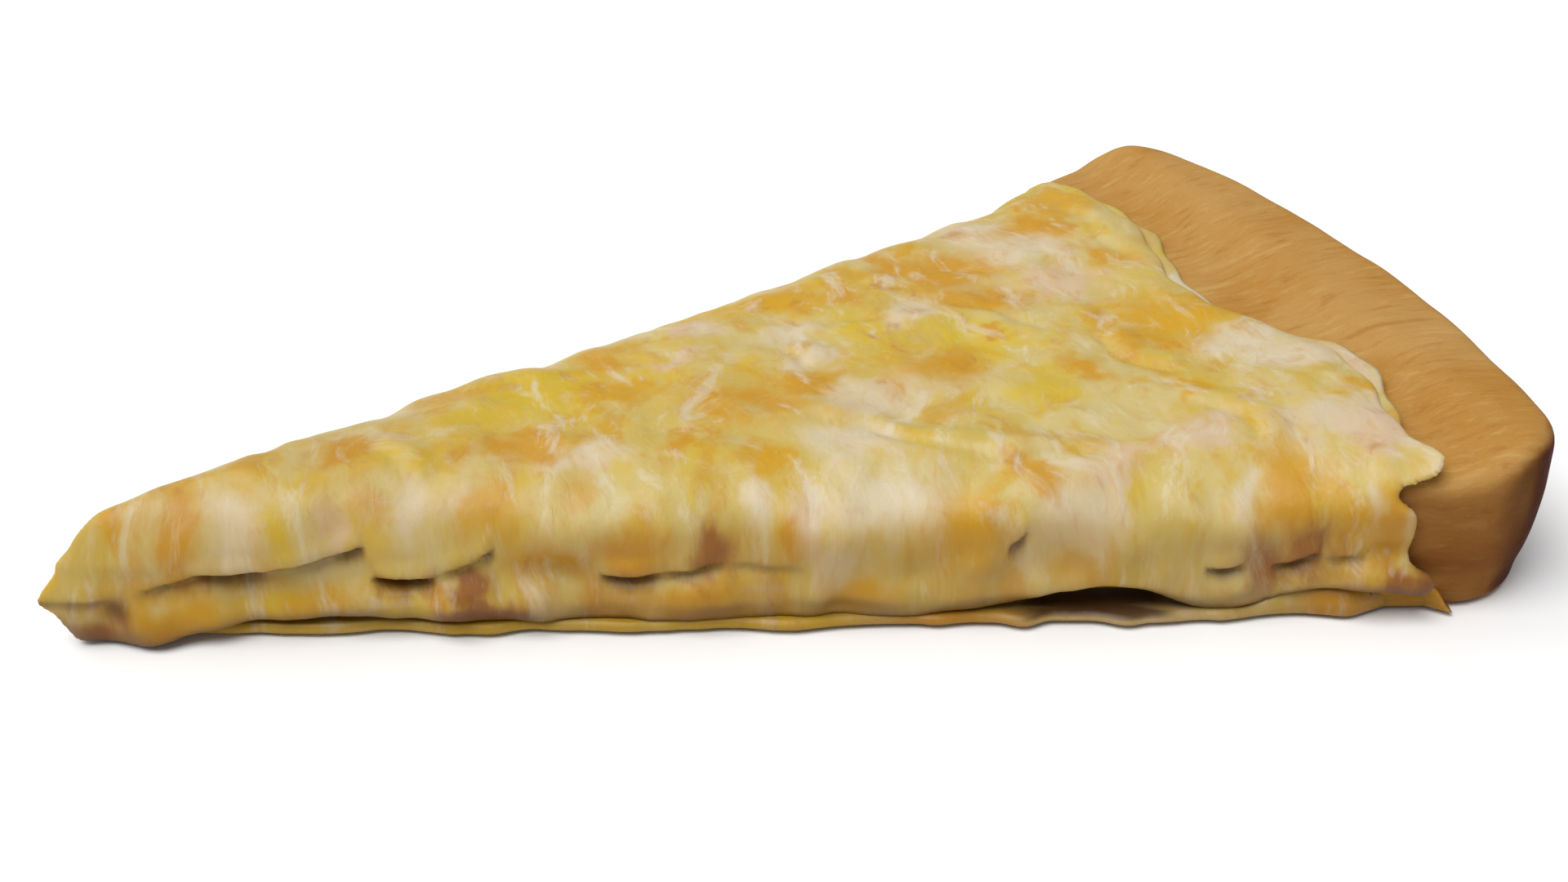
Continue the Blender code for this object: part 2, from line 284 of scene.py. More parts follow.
def crust_field():
    xs, ys, zs = grid(12.0, 184.0, 60.0, -1.2, 24.0, STEP)
    x, y, z = xs[:, None, None], ys[None, :, None], zs[None, None, :]
    # a gently uneven top and sides
    top2 = dough_top(xs)[:, None] + 0.0 * ys[None, :]
    X2, Y2 = np.meshgrid(xs, ys, indexing="ij")
    top2 = top2 + smooth(150, 160, X2) * (
        0.22 * noise(X2 / 17, Y2 / 15, 0.3, 5) + 0.10 * noise(X2 / 6, Y2 / 6, 1.3, 6))
    R2, A2 = np.hypot(X2, Y2), np.arctan2(Y2, X2)
    top2 -= 0.30 * hump(R2, 163.5 - 1.5 * np.sin(A2 * 9), 1.6) * smooth(-0.02, -0.10, A2)
    top2 += 0.35 * hump(R2, 172.5, 5.0)
    far = smooth(-4, 4, y)
    U, Zm = np.meshgrid(xs, zs, indexing="ij")
    dent = [0.25 * noise(U / 6.5, 3.1 * s, Zm / 14, 31 + s) + 0.16 * noise(U / 3, 1.7 * s, Zm / 9, 41 + s)
            for s in (0, 1)]
    off = (mix(-0.4, 0.75, far) + mix(dent[0][:, None, :], dent[1][:, None, :], far)
           - 1.0 * smooth(9, 1.5, z)) * smooth(136, 158, x)
    side = np.abs(y) * CA - x * SA + (dough_inset(x) - 0.3 * smooth(136, 158, x)) - off
    r = np.hypot(x, y)
    th = np.arctan2(y, x)
    near = smooth(0.1, -0.15, th)
    out = (r - RADIUS + near * (0.1 + 1.7 * smooth(14, 1, z)) + 0.4 * smooth(6, 1, z)
           - 0.13 * np.sin(th * 31 + z / 9 + 0.7) - 0.09 * np.sin(th * 67 - z / 6))
    corner = mix(11.6, 12.4, smooth(2, 12, z)) + 0 * x + 0 * y
    c = rounded(side, out, corner, corner)
    lid = z - top2[:, :, None]
    rr = mix(mix(2.0, 4.0, smooth(136, 158, x)), 2.7, smooth(158, 169, x))
    body = rounded(c, lid, rr + 0 * z, rr * 0.95 + 0 * z)
    low = mix(1.0, 1.2, smooth(136, 158, x)) + 0 * y + 0 * z
    body = rounded(body, -z + 0 * x + 0 * y, low, low)
    body = rounded(body, 15.5 - x + 0 * y + 0 * z, 2.0, 2.0)
    return body, (xs[0], ys[0], zs[0])


# ----------------------------------------------------------- the blanket

# creases and folds on top: points in (x, y), depth, and the swell beside it
CREASES = [
    ([(88, -10), (92.3, -13.8), (96.1, -15.6), (98, -20), (102, -23.4), (105.5, -25.8),
      (109.4, -28.9), (118, -30.5), (124.3, -33.6)], 0.55, 0.55, 1),
    ([(91.8, 15.8), (96.1, 13.8), (104.5, 12.2), (109.0, 9.6), (110.9, 5.4)], 0.3, 0.35, -1),
    ([(118, 12.5), (120.8, 9.6), (123.8, 7.7), (125.4, 2.6), (128.4, -1.9)], 0.35, 0.45, -1),
    ([(93.3, 7.0), (94.6, 4.5), (94.2, 0.8)], 0.5, 0.5, 1),
    ([(133.3, -3.5), (133.2, -9.5), (134.9, -14.2), (138.3, -18.0)], 0.55, 0.7, 1),
    ([(133.7, -23.9), (137.4, -26.7), (139.3, -31.9), (138.6, -37.4)], 0.45, 0.6, 1),
    ([(37.3, -0.2), (39.7, -3.7), (41.3, -9.7)], 0.3, 0.4, 1),
    ([(70, 13), (74, 9.5), (80, 7.5), (86, 8.5)], 0.25, 0.3, -1),
    ([(58, -3), (63, -6.5), (70, -7.5), (77, -11)], 0.22, 0.25, -1),
    ([(146, 36), (149, 30), (147, 22), (149, 12)], 0.3, 0.35, 1),
    ([(112, 26), (118, 22), (124, 22), (131, 18)], 0.3, 0.35, -1),
]

# the tip's outline, seen from the side: (height, how far out it reaches)
NOSE = [(-1.5, 3.6), (0.0, 1.7), (1.5, 0.7), (3.0, -0.2), (4.4, -0.9), (5.4, -2.0),
        (6.4, -2.5), (7.4, -1.9), (8.6, -0.8), (9.8, 0.1), (11.0, 0.5), (12.2, 2.1), (14.1, 3.9),
        (16.1, 6.5), (17.6, 9.0), (18.3, 11.0), (18.8, 13.8), (19.4, 18.6), (24, 26)]


def top_map(X, Y):
    """Height of the blanket's upper surface."""
    t = table(X, [(-6, 19.3), (14, 19.3), (22, 19.6), (40, 19.9), (70, 19.6), (100, 19.6),
                  (125, 19.7), (140, 20.2), (150, 20.9), (165, 21.6)])
    r = np.hypot(X, Y)
    f = np.arctan2(Y, X) / ALPHA
    grow = smooth(0, 25, X)
    t = t + grow * (0.75 * noise(X / 15, Y / 12, 0.2, 1) + 0.60 * noise(X / 7, Y / 6.2, 0.7, 2)
                    + 0.16 * noise(X / 3.4, Y / 3.1, 0.1, 3)) * mix(1, 0.7, smooth(140, 152, X))
    for pts, depth, swell, side in CREASES:
        d, s = line_distance(X, Y, pts)
        fade = smooth(0, 0.14, s) * smooth(1, 0.86, s)
        t = t - depth * np.exp(-(d / 0.75) ** 2) * fade
        t = t + swell * np.exp(-((d * side - 2.3) / 1.9) ** 2) * fade
    # the far shoulder sinks a little before the rim
    far_sink = smooth(0.45, 0.9, f)
    # it thins to its edge on the rim
    b = border(f)
    lap = smooth(-5.0, -0.5, r - b)
    t = mix(t, dough_top(r) + 1.75, lap * 0.85)
    t = t + 0.45 * hump(r - b, -2.2, 1.5) * (0.6 + 0.8 * noise(f * 7, 0, 0, 9))
    t = t - (0.7 * hump(X, 103, 16) + 0.3 * hump(X, 138, 7) + 1.3 * hump(X, 147.5, 4.5)) * far_sink
    return t


# slits across the walls, where the upper drape hangs over what is below:
# (u, z) ends, depth below, how far the drape hangs out above
NEAR_CUTS = [
    (-2.0, 6.6, 8.4, 6.3, 0.9, 0.45), (9.0, 7.0, 17.5, 9.2, 0.7, 0.6),
    (16.0, 9.1, 25.0, 9.3, 1.6, 1.1), (23.5, 9.3, 35.5, 11.8, 0.9, 0.8),
    (33.0, 11.2, 36.5, 12.4, 1.3, 0.5), (37.0, 7.9, 44.5, 8.0, 2.6, 1.3),
    (44.0, 8.3, 50.5, 10.2, 0.6, 0.6), (49.6, 10.6, 51.6, 11.9, 1.0, 0.4),
    (63.5, 8.0, 71.0, 8.0, 1.7, 1.1), (70.0, 8.0, 78.5, 9.2, 0.8, 0.8),
    (79.0, 9.0, 88.0, 8.6, 0.5, 0.4), (112.0, 10.6, 114.2, 12.9, 1.1, 0.5),
    (135.5, 7.4, 140.5, 7.6, 1.3, 0.8), (144.0, 6.9, 150.0, 8.5, 1.3, 0.8),
    (150.0, 8.0, 155.0, 8.8, 0.7, 0.7),
]
FAR_CUTS = [
    (10, 7.6, 21, 9.4, 0.7, 0.6), (22, 9.2, 33, 8.5, 1.3, 0.9), (52, 7.8, 67, 9.0, 1.1, 0.9),
    (66, 9.0, 73, 10.6, 0.5, 0.5), (88, 7.6, 98, 8.4, 0.9, 0.8), (128, 6.8, 133, 7.2, 0.8, 0.6),
]


def cut_line(c):
    u0, z0, u1, z1 = c[:4]
    return [(u0, z0), ((u0 + u1) / 2, (z0 + z1) / 2 - 0.25), (u1, z1)]


def cut_fade(c, U, Z):
    """Signed height over a slit's line, and how open the slit is there."""
    d, s = line_distance(U, Z, cut_line(c))
    t = (U - c[0]) / (c[2] - c[0])
    return d, np.sqrt(np.clip(4 * t * (1 - t), 0, 1)) * smooth(4.0, 2.0, np.abs(d))


def wall_map(U, Z, side):
    """How far the blanket's wall stands out from the cut side. side 0 is near."""
    k = 40 * side
    left = smooth(100, 80, U)
    o = 0.75 * hump(Z, 13.8, 4.2) * (0.8 + 0.7 * noise(U / 13, 0, Z / 22, 60 + k))
    line = 8.6 + 1.2 * noise(U / 19, 0.4, 0, 61 + k)
    o = o - (0.65 * left + 0.1) * np.exp(-((Z - line) / 1.7) ** 2) * (
        0.7 + 0.6 * noise(U / 11, 0.9, 0, 62 + k))
    o = o + (0.6 + 0.5 * noise(U / 8, 0.2, 0, 63 + k)) * hump(Z, 4.6, 2.2)
    o = o + 0.95 * noise(U / 13, 0.1, Z / 12, 64 + k) + 0.52 * noise(U / 5.5, 0.6, Z / 7, 65 + k)
    o = o + 0.12 * noise(U / 2.4, 0.6, Z / 5, 66 + k)
    low = smooth(12.5, 7.5, Z) * smooth(0.5, 3.0, Z)
    o = o + low * (0.60 * noise(U / 4.4, 0.3, Z / 4.2, 67 + k) + 0.40 * noise(U / 8.5, 0.5, Z / 5.2, 68 + k))
    o = o + 0.30 * noise((U + 0.8 * Z) / 5.2, 0.7, Z / 11, 69 + k) * smooth(6, 10, Z)
    for c in (FAR_CUTS if side else NEAR_CUTS):
        d, fade = cut_fade(c, U, Z)
        over = smooth(-0.25, 0.35, d)
        o = o - (1 - over) * c[4] * np.exp(-(d / 1.25) ** 2) * fade
        o = o + over * c[5] * np.exp(-((d - 1.1) / 1.5) ** 2) * fade
    # the foot tucks in a little over the lip, and lifts off it in one place
    foot = hem(U, side)
    lift = smooth(2.4, 4.2, foot)
    o = o - (0.15 + 1.4 * lift) * smooth(foot + 1.2, foot - 0.6, Z) * smooth(4, 12, U)
    o = o + 0.7 * lift * hump(Z, foot + 2.2, 1.8)
    if side == 0:
        fat = 1.5 * hump(U, 1.8, 1.6) + 1.9 * hump(U, 10.0, 3.2) + 0.7 * hump(U, 17, 5)
        o = o + fat * smooth(6.0, 0.8, Z)                           # the tip's fat foot
        o = o - 0.9 * hump(U, 5.2, 1.1) * hump(Z, 4.6, 3.4)         # the dimple between
        tube = smooth(149, 156, U)
        o = o + 0.8 * tube * hump(Z, 5.8, 1.9)                      # the rolled flap
        o = o - 0.7 * tube * hump(Z, 9.2, 1.2)
        o = o + 1.1 * hump(U, 46.0, 2.4) * hump(Z, 4.9, 2.4)        # small swellings
        o = o - 0.6 * hump(U, 41.5, 2.0) * hump(Z, 4.0, 2.6) + 0.6 * hump(U, 53, 3.0) * hump(Z, 4.6, 2.6)
        o = o + 0.7 * hump(U, 60, 4.0) * hump(Z, 14.5, 4) - 0.5 * hump(U, 52.5, 3.0) * hump(Z, 14.5, 4)
        o = o + 0.6 * hump(U, 27, 5.0) * hump(Z, 14, 4) - 0.5 * hump(U, 34.5, 2.5) * hump(Z, 13, 4)
        o = o + 0.8 * hump(U, 14, 4.5) * hump(Z, 12, 3.0) - 0.5 * hump(U, 81, 3.0) * hump(Z, 13, 4)
        o = o + 0.6 * hump(U, 91, 5.0) * hump(Z, 12, 4) + 0.5 * hump(U, 126, 6) * hump(Z, 9.5, 2.5)
        o = o - 0.5 * hump(U, 101, 3.0) * hump(Z, 7, 3) + 0.4 * hump(U, 108, 4) * hump(Z, 8, 3)
        o = o + 0.6 * hump(U, 136, 7) * hump(Z, 11.5, 4.0) - 0.7 * hump(U, 113.5, 2.2) * hump(Z, 10, 4)
        o = o - 0.8 * hump(U, 151, 3.2) * hump(Z, 11, 5) + 0.5 * hump(U, 104, 8) * hump(Z, 14, 4)
    return o


def wall_end(Z, side):
    """Distance along the side at which the blanket's wall ends."""
    if side == 0:
        return table(Z, [(-2, 160.8), (2.2, 161.0), (3.2, 162.4), (4.6, 163.4), (6.0, 163.0),
                         (7.2, 160.8), (9.0, 160.3), (12, 160.4), (14.6, 160.0), (16.4, 158.0),
                         (17.4, 158.4), (18.6, 161.8), (19.6, 163.1), (24, 163.3)])
    return table(Z, [(-2, 159), (3, 160), (8, 158.4), (12, 157.2), (16, 157.4), (19, 157.0),
                     (24, 156.6)])


def hem(U, side):
    """Height of the blanket's foot over the lip."""
    if side == 0:
        z = table(U, [(-6, 0.3), (10, 0.3), (16, 1.4), (60, 1.5), (104, 1.5), (110, 1.9),
                      (116, 3.4), (121, 4.5), (127, 4.4), (131, 3.2), (135, 1.6), (143, 1.9),
                      (148, 3.3), (154, 3.7), (160, 3.3), (170, 3.0)])
    else:
        z = table(U, [(-6, 0.3), (5, 0.3), (11, 1.4), (58, 1.5), (64, 2.6), (70, 4.0), (76, 3.2),
                      (82, 1.5), (170, 1.5)])
    return z + 0.10 * noise(U / 5, 0, 0, 71 + side) * smooth(8, 14, U)


def blanket_field():
    xs, ys, zs = grid(-6.0, 169.0, 59.0, -1.2, 24.6, FINE)
    x, y, z = xs[:, None, None], ys[None, :, None], zs[None, None, :]
    X2, Y2 = np.meshgrid(xs, ys, indexing="ij")
    U2, Z2 = np.meshgrid(xs / CA, zs, indexing="ij")
    top = top_map(X2, Y2)
    near, far = wall_map(U2, Z2, 0), wall_map(U2, Z2, 1)
    f_mix = smooth(-2.5, 2.5, y)
    off = mix(near[:, None, :], far[:, None, :], f_mix)
    late = smooth(138, 156, x)
    off = off * mix(smooth(-2, 12, x), 0.55, late)
    off = off + 1.1 * late - 0.9 * late * smooth(152, 160, x) * smooth(6, 2, z) * (1 - f_mix)
    nose = table(zs, NOSE)[None, None, :]
    eps = mix(1.1, 0.6, hump(zs, 6.4, 1.6))[None, None, :]
    x0 = nose - eps * CA / SA
    fade = smooth(26, 2, x)
    side = np.sqrt(y * y + eps * eps) * CA - (x - x0 * fade) * SA - off
    # the top's slope at the tip comes from the side outline
    half = np.maximum(1.2, (x + 2.5) * TA)
    rw = np.minimum(mix(11.5, 6.0, late), 0.80 * half) + 0 * z
    rh = np.minimum(mix(8.5, 5.2, late), 1.4 * half) + 0 * z
    lid = z - top[:, :, None]
    out = rounded(side, lid, rw, rh)
    # its end on the rim
    r, th = np.hypot(x, y), np.arctan2(y, x)
    f = th / ALPHA
    e_top = border(np.clip(f, -1.05, 1.05))
    e_wall = mix(wall_end(zs, 0)[None, None, :], wall_end(zs, 1)[None, None, :], f_mix)
    side_in = smooth(0.80, 0.97, np.abs(f))
    end = r - mix(e_top, e_wall, side_in)
    out = rounded(out, end, 1.1, 0.9)
    # its foot
    h = mix(hem(xs / CA, 0)[:, None, None], hem(xs / CA, 1)[:, None, None], f_mix)
    out = rounded(out, h - z, 0.45, 0.45)
    # the hollow that sits over the dough and the lower sheet
    t_in = dough_top(xs)[:, None, None] + mix(1.1, 0.52, smooth(112, 138, x)) + 0 * y
    s_in = np.abs(y) * CA - x * SA + dough_inset(x) - 0.52
    rr = mix(2.6, 4.6, smooth(136, 158, x)) + 0 * z
    inner = rounded(s_in + 0 * z, z - t_in, rr, rr)
    inner = np.maximum(inner, 12.6 - x)
    return np.maximum(np.maximum(out, -inner), 0.2 - z), (xs[0], ys[0], zs[0])


# ------------------------------------------------------- the lower sheet

TURN = [radians(a) for a in (15, 30, 45, 60, 75)]
TOP_F = [1.0 - k / 26 for k in range(27)]

# where the lip stands out or stays back along the near side: (along, width, by how much)
LIP_OUT = 0.62
LIP_POINTS = [(22.8, 2.0, -0.45), (38.5, 3.6, -1.0), (45.6, 1.8, 0.55), (50.0, 2.6, 0.85),
              (55.5, 2.2, -0.4), (69, 7.0, 0.65), (86.0, 4.4, 1.05), (104.0, 2.0, 0.4),
              (114.2, 2.2, 1.2), (126.4, 2.0, 0.8), (130, 6.5, 0.85),
              (138.5, 2.2, 0.4), (147.0, 4.5, -0.5), (153.6, 2.0, 0.5), (161.0, 4.2, -2.2),
              (166.6, 1.6, 0.5)]
FAR_POINTS = [(30, 4, 0.6), (71, 6, 0.9), (96, 4, 0.6), (132, 4, 0.8), (150, 3, 0.5)]


def lip_reach(u, s):
    b = 0.0
    for c, w, h in (LIP_POINTS if s < 0 else FAR_POINTS):
        b = b + h * hump(u, c, w)
    return b + 0.16 * noise(u / 5.0, 2.0 * s, 0.3, 81) + 0.10 * noise(u / 2.2, 2.0 * s, 0.3, 82)


def lip_tall(u, s):
    tall = 1.25 + (2.1 if s < 0 else 0.4) * smooth(141, 148, u) * smooth(168.5, 162.0, u)
    return tall * mix(0.55, 1.0, smooth(11, 21, u))


def place(X, f, half):
    """Point at share f across the station X: straight rows near the tip, arcs later."""
    y = half * np.sin(f * ALPHA) / SA
    bow = smooth(20, 110, X)
    return X - bow * (X - np.sqrt(np.maximum(X * X - y * y, 0.0))), y


def wedge_half(X, inset, nose):
    x = X - smooth(20, 110, X) * X * (1 - CA) - nose
    c = 2 * (nose - inset / SA)
    return TA * np.sqrt(np.maximum(0.0, x * (x + np.maximum(c, 0.0))))


N_ST, N_LIP = 300, 9
K_WALL = N_LIP + 2
HALF_N = K_WALL + len(TURN) + len(TOP_F)
WIDTH = 2 * HALF_N - 1


def lower_end(k, s, f):
    shown = border(np.array(f)) + 1.5 + 0.7 * noise(f * 5, 0.2, 0, 91) + 0.5 * sin(9 * f)
    if k < N_LIP:
        return (166.6 if s < 0 else 163.0) - 0.25 * k
    if k < K_WALL + len(TURN):
        return mix(156.0, float(shown), ((k - N_LIP + 1) / (2 + len(TURN))) ** 1.5)
    return float(shown)


def lower_point(k, X, s, f, nose, outer):
    """The k-th point of the section at each station of X, on side s."""
    side = 0.08 + (0.30 if outer else 0.0)
    over = 0.08
    if outer:
        over = over + mix(0.8, 0.30, smooth(116, 140, X))
        if k >= K_WALL:
            last = lower_end(k, -1.0, f) - 1.5
            over = over + 0.50 * smooth(last - 1.5, last + 0.2, X)
    base = dough_inset(X) - side
    top = dough_top(X) + over
    w = wedge_half(X, base, nose)
    r = mix(2.0, 4.4, smooth(136, 158, X)) + side
    rw, rh = np.minimum(r, 0.85 * w), np.minimum(r, 0.45 * top)
    if k >= K_WALL + len(TURN):
        return w - rw, top
    if k >= K_WALL:
        a = TURN[k - K_WALL]
        return w - rw * (1 - cos(a)), top - rh + rh * sin(a)
    if not outer:
        foot = mix(0.0, 1.2, smooth(136, 158, X))
        if k < N_LIP:
            d, z = foot * (0.75 - 0.03 * k), 0.28 + 0.12 * k
        else:
            d, z = (foot * 0.3, 1.6) if k == N_LIP else (0.0, 2.2)
        return wedge_half(X, base + d, nose), z + 0 * X
    u = X / mix(CA, 1.0, smooth(20, 110, X))
    tall = lip_tall(u, s)
    reach = (LIP_OUT + lip_reach(u, s)) + 0.5 * (1 - smooth(10.4, 20, X)) - 0.35
    kk = min(k, N_LIP - 1)
    a = -pi / 2 + pi * kk / (N_LIP - 1)
    d = -base - reach - 0.35 * cos(a) + 0.5 * max(0.0, sin(a)) * (0.55 + 0.25 * tall)
    z = 0.25 + tall * 0.5 * (1 + sin(a))
    if k == N_LIP:
        d, z = d * 0.5, z + 0.05
    elif k > N_LIP:
        d, z = 0.0 * d, z + 0.06
    return wedge_half(X, base + d, nose), z


def lower_rows():
    """Outer and inner surface as arrays (station, place in the section, xyz)."""
    t = np.linspace(0, 1, N_ST + 1)
    t = 0.92 * t + 0.08 * t * t
    both = []
    for outer in (True, False):
        rows = np.zeros((N_ST + 1, WIDTH, 3))
        for j in range(WIDTH):
            k = min(j, WIDTH - 1 - j)
            s = -1.0 if j < HALF_N - 1 else 1.0
            kk = k - K_WALL - len(TURN)
            f = s * (TOP_F[kk] if kk >= 0 else 1.0)
            nose = (10.4 + 0.06 * k) if (outer and k < N_LIP) else (13.2 if outer else 15.2)
            tt = t if outer else 1.04 * t * t / (t + 0.04)
            X = mix(nose, lower_end(k, s, f), tt)
            w, z = lower_point(k, X, s, f, nose, outer)
            x, y = place(X, f, w)
            if outer and k >= N_LIP:
                z = z.copy()
                z[-1] -= 0.25
            rows[:, j] = np.stack([x, y, z], 1)
        both.append(rows)
    return both


# ---------------------------------------------------------------- meshes

def new_mesh(name, pos, faces, material):
    mesh = bpy.data.meshes.new(name)
    p = pos.copy()
    p[:, 0] += MOVE_X
    mesh.from_pydata((p * MM).tolist(), [], faces)
    mesh.update()
    mesh.shade_smooth()
    obj = bpy.data.objects.new(name, mesh)
    bpy.context.scene.collection.objects.link(obj)
    mesh.materials.append(material)
    return obj


def store(obj, name, values, kind):
    a = obj.data.attributes.new(name, kind, "POINT")
    v = np.asarray(values, np.float32)
    if kind == "FLOAT_COLOR":
        v = np.concatenate([v, np.ones((len(v), 4 - v.shape[1]), np.float32)], 1)
        a.data.foreach_set("color", v.ravel())
    elif kind == "FLOAT_VECTOR":
        a.data.foreach_set("vector", v.ravel())
    else:
        a.data.foreach_set("value", v.ravel())


def rows_to_mesh(outer, inner):
    """One closed mesh from two grids of rows that share their outline."""
    n, w = outer.shape[0], outer.shape[1]
    pts = np.concatenate([outer.reshape(-1, 3), inner.reshape(-1, 3)])
    ids = np.arange(n * w).reshape(n, w)
    ids[0] = np.minimum(ids[0], ids[0][::-1])
    ins = np.arange(n * w).reshape(n, w)
    ins[0] = np.minimum(ins[0], ins[0][::-1])
    ins = ins + n * w
    pts[ids[0], 1] = 0.0
    pts[ins[0], 1] = 0.0

    def quads(a, b, c, d):
        return np.stack([a.ravel(), b.ravel(), c.ravel(), d.ravel()], 1)

    q = [quads(ids[:-1, :-1], ids[1:, :-1], ids[1:, 1:], ids[:-1, 1:]),
         quads(ins[:-1, :-1], ins[:-1, 1:], ins[1:, 1:], ins[1:, :-1]),
         quads(ids[:-1, 0], ins[:-1, 0], ins[1:, 0], ids[1:, 0]),
         quads(ids[:-1, -1], ids[1:, -1], ins[1:, -1], ins[:-1, -1]),
         quads(ids[-1, :-1], ins[-1, :-1], ins[-1, 1:], ids[-1, 1:])]
    faces = []
    for quad in np.concatenate(q).tolist():
        keep = []
        for v in quad:
            if v not in keep:
                keep.append(v)
        if len(keep) > 2:
            faces.append(keep)
    used = np.unique(np.concatenate([np.array(f) for f in faces]))
    new = -np.ones(len(pts), np.int64)
    new[used] = np.arange(len(used))
    return pts[used], [[int(new[v]) for v in f] for f in faces]


# --------------------------------------------------------------- colours

def tone(r, g, b, k=0.90):
    """Linear colour that shows as this display colour under the studio light."""
    return tuple(max(0.008, (v - 0.030) * k) for v in rgb(r, g, b))


def rgb(r, g, b, k=1.0):
    """Linear colour from a display colour."""
    out = []
    for v in (r, g, b):
        v = v / 255.0
        out.append(k * (v / 12.92 if v <= 0.04045 else ((v + 0.055) / 1.055) ** 2.4))
    return tuple(out)


# patches of colour on top: (x, y, reach in x, reach in y, kind)
# O orange-brown, G golden, Y yellow, W white cream, P pinkish, B brown: browned cheese, and painted shade under the
# flap's end, around the slits and in the tip's dimple
TOP_PATCHES = [
    (122, 21, 6.3, 7.6, "O"), (123, 12, 5.0, 3.6, "O"), (116, 26, 1.6, 6.1, "O"),
    (148, 38, 5.5, 6.9, "G"), (141, 29, 4.7, 4.1, "O"), (146, 42, 2.7, 5.1, "P"),
    (146, 17, 3.2, 3.9, "O"), (136, 12, 5.6, 4.8, "P"), (135, 24, 7.0, 4.5, "W"),
    (133, 31, 4.7, 3.8, "W"), (113, 11, 3.1, 3.5, "W"), (106, 8, 4.9, 5.4, "Y"),
    (118, 0, 6.4, 5.3, "Y"), (121, 1, 1.5, 1.5, "O"), (110, -5, 5.8, 4.1, "O"),
    (143, -4, 7.6, 6.5, "G"), (149, -4, 5.5, 3.0, "G"), (136, -10, 3.2, 2.1, "O"),
    (136, -21, 1.4, 2.7, "G"), (128, -13, 2.3, 3.2, "O"), (120, -16, 4.1, 4.8, "Y"),
    (96, 11, 4.9, 3.6, "W"), (97, 3, 4.2, 2.8, "W"), (85, -5, 6.1, 5.2, "O"),
    (80, -6, 1.5, 2.5, "G"), (93, -3, 4.1, 2.7, "O"), (92, -19, 4.9, 5.0, "W"),
    (82, -18, 1.7, 2.4, "G"), (73, -12, 1.8, 1.2, "O"), (71, 12, 3.2, 3.5, "O"),
    (70, 2, 5.1, 3.0, "G"), (60, 7, 7.2, 6.1, "Y"), (55, -7, 4.4, 3.6, "O"),
    (51, 10, 3.6, 2.0, "G"), (50, 2, 4.0, 3.8, "Y"), (42, -4, 3.4, 3.6, "Y"),
    (85, 17, 3.2, 3.4, "P"), (99, 21, 6.7, 3.1, "G"), (108, 19, 2.8, 3.6, "O"),
    (156, -19, 9.5, 5.2, "W"), (149, -14, 5.3, 3.1, "W"), (156, -31, 3.0, 1.6, "G"),
    (145, -33, 4.0, 2.6, "Y"), (151, -36, 7.0, 5.0, "W"), (152, -41, 2.8, 4.2, "P"), (157, -44, 5.5, 4.5, "W"),
    (100, -9, 7.0, 4.0, "W"), (134, -32, 5.9, 3.3, "P"),
    (122, -34, 4.8, 2.6, "P"), (111, -33, 2.9, 3.9, "O"), (81, 8, 4.2, 1.4, "P"),
    (60, -11, 5.8, 2.4, "W"), (35, -2, 2.9, 2.8, "O"), (30, -6, 2.9, 2.7, "Y"),
]
# patches on the near wall: (along, height, reach along, reach up, kind)
WALL_PATCHES = [
    (15.1, 16.4, 1.9, 6.5, "O"), (21.2, 16.2, 2.6, 6.0, "W"), (26.3, 16.1, 1.4, 6.5, "Y"),
    (31.5, 16.0, 1.7, 5.4, "P"), (36.6, 20.3, 1.9, 3.8, "O"), (42.0, 18.0, 2.1, 5.4, "W"),
    (8.1, 16.5, 1.3, 2.7, "G"), (2.6, 7.1, 0.5, 2.8, "W"), (3.0, 1.7, 2.1, 1.6, "B"),
    (14.3, 3.4, 5.8, 2.2, "G"), (24.5, 4.3, 5.8, 2.2, "Y"), (50.6, 20.0, 2.8, 4.3, "G"),
    (47.8, 20.0, 1.3, 4.3, "W"), (60.9, 19.7, 1.9, 4.9, "O"), (45.2, 4.9, 1.5, 2.2, "O"),
    (49.3, 7.1, 1.9, 2.2, "B"), (50.4, 3.3, 3.9, 1.6, "B"), (58.5, 9.6, 4.6, 2.2, "O"), (67.5, 11.5, 3.2, 2.6, "O"),
    (63.3, 5.0, 2.6, 3.6, "O"), (41.0, 3.6, 4.0, 2.4, "Y"), (30.5, 4.2, 4.5, 2.6, "G"), (76.8, 10.4, 2.3, 3.5, "B"), (72.8, 3.6, 4.4, 2.8, "G"),
    (82.6, 19.3, 1.7, 6.5, "W"), (87.8, 13.6, 2.1, 3.3, "P"), (85.5, 11.9, 1.2, 2.2, "O"),
    (98.7, 18.9, 6.6, 6.5, "W"), (91.5, 8.5, 3.2, 3.6, "W"), (95.0, 4.0, 4.0, 2.2, "G"), (106.6, 12.0, 3.9, 4.4, "G"), (121.0, 13.9, 5.8, 4.4, "W"),
    (127.4, 18.3, 3.3, 4.4, "Y"), (145.9, 16.7, 2.7, 6.6, "O"), (152.7, 12.6, 2.5, 4.4, "G"),
    (157.2, 12.0, 1.2, 5.6, "O"), (144.0, 7.7, 3.9, 3.4, "B"), (148.5, 8.5, 3.0, 3.6, "B"),
    (155.5, 15.5, 1.0, 4.0, "W"), (158.8, 14.5, 0.8, 4.5, "P"), (140.8, 19.1, 1.7, 4.4, "W"),
    # painted shade: the dark end under the rolled flap
    (161.2, 4.6, 4.0, 1.7, "B"),
]
